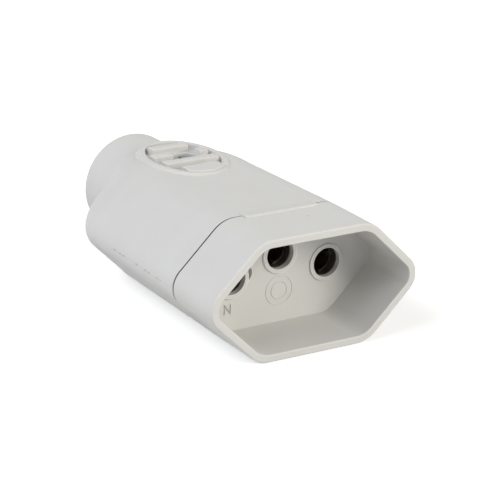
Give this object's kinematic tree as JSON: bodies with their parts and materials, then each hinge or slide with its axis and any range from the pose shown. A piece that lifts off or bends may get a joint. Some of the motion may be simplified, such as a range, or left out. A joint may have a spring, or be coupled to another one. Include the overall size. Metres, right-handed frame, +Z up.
{
  "type": "inline power socket",
  "caption": "Rewirable cord-end socket for round pins: hexagonal moulded cup with recessed pin holes, and a screwed-on rear cover with rounded shoulders, ribbed thumb grips and round cord neck.",
  "frame": {"origin": "middle of the footprint, on the surface that the socket lies on", "axes": "+Y from the mouth back to the cord end, +X to the right as seen facing the mouth, +Z up through the side with the cover's screw"},
  "size_m": [0.0404, 0.0654, 0.0221],
  "materials": {
    "housing": "light grey moulded plastic, fine satin",
    "insulator": "grey moulded plastic, plain",
    "contact_brass": "turned and milled brass",
    "spring_steel": "rolled spring strip",
    "screw_steel": "zinc-plated"
  },
  "bodies": {
    "root": {"socket_body": "housing", "rear_cover": "housing", "contact_retainer": "insulator", "clamp_bridge": "insulator", "line_contact": "contact_brass", "line_spring_ring": "spring_steel", "line_terminal_screw": "screw_steel", "neutral_contact": "contact_brass", "neutral_spring_ring": "spring_steel", "neutral_terminal_screw": "screw_steel", "earth_contact": "contact_brass", "earth_spring_ring": "spring_steel", "earth_terminal_screw": "screw_steel", "clamp_screw_left": "screw_steel", "clamp_screw_right": "screw_steel", "cover_screw": "screw_steel"}
  },
  "joints": []
}
